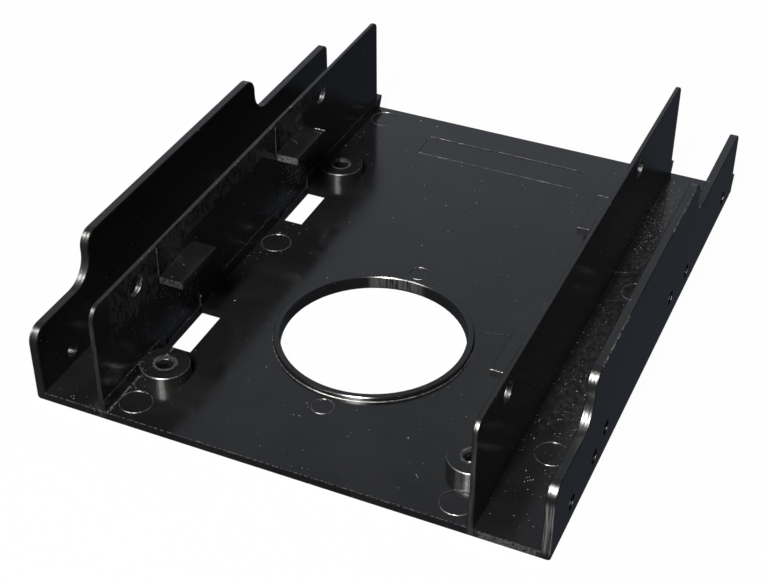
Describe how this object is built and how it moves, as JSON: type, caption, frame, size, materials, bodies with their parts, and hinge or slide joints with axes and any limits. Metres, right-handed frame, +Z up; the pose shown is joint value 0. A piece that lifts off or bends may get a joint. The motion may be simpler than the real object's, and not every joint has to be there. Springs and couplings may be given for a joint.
{
  "type": "drive bay adapter",
  "caption": "Open moulded tray with stepped outer walls, inner walls, support tabs, screw bosses and a round floor opening; holds small drives in a larger drive bay.",
  "frame": {"origin": "middle of the tray's underside, halfway along its overall length", "axes": "+X to the right seen from the connector end, +Y from the connector end to the rear, +Z up out of the tray"},
  "size_m": [0.1004, 0.1226, 0.0252],
  "materials": {
    "black_plastic": "glossy moulded black plastic"
  },
  "bodies": {
    "root": {"adapter_tray": "black_plastic"}
  },
  "joints": []
}
